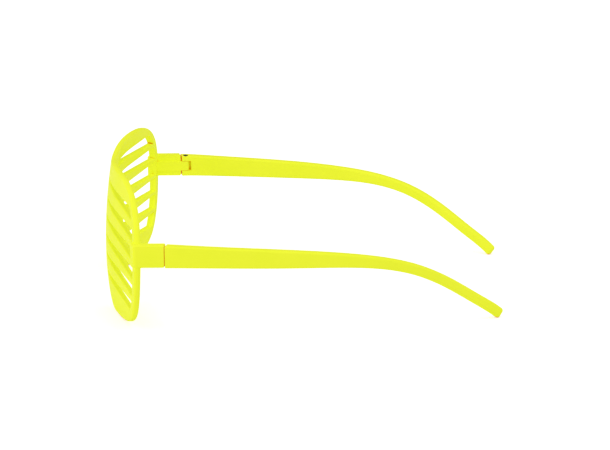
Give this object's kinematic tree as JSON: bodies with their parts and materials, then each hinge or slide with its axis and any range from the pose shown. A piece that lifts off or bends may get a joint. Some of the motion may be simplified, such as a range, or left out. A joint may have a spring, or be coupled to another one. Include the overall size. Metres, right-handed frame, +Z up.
{
  "type": "slatted novelty glasses",
  "caption": "One-piece moulded glasses front with horizontal slats where lenses would be, and two temples that fold on small screwed hinges.",
  "frame": {"origin": "on the plane that the open glasses stand on, under the middle of the whole object", "axes": "+X towards the wearer's left, -Y the way the wearer looks, so the temples run back to +Y, +Z up"},
  "size_m": [0.1428, 0.1569, 0.0562],
  "materials": {
    "moulding": "glossy injection-moulded plastic, fluorescent yellow all through",
    "screw": "small turned steel screw with a dark finish"
  },
  "bodies": {
    "front": {"front": "moulding"},
    "temple_left": {"temple_left": "moulding", "hinge_screw_left": "screw"},
    "temple_right": {"temple_right": "moulding", "hinge_screw_right": "screw"}
  },
  "joints": [
    {"name": "temple_left_hinge", "type": "hinge", "parent": "front", "child": "temple_left", "pos_m": [0.0685, -0.04973, 0.03277], "axis": [0, 0, 1], "range_deg": [0, 84]},
    {"name": "temple_right_hinge", "type": "hinge", "parent": "front", "child": "temple_right", "pos_m": [-0.0685, -0.04973, 0.03277], "axis": [0, 0, -1], "range_deg": [0, 79]}
  ]
}
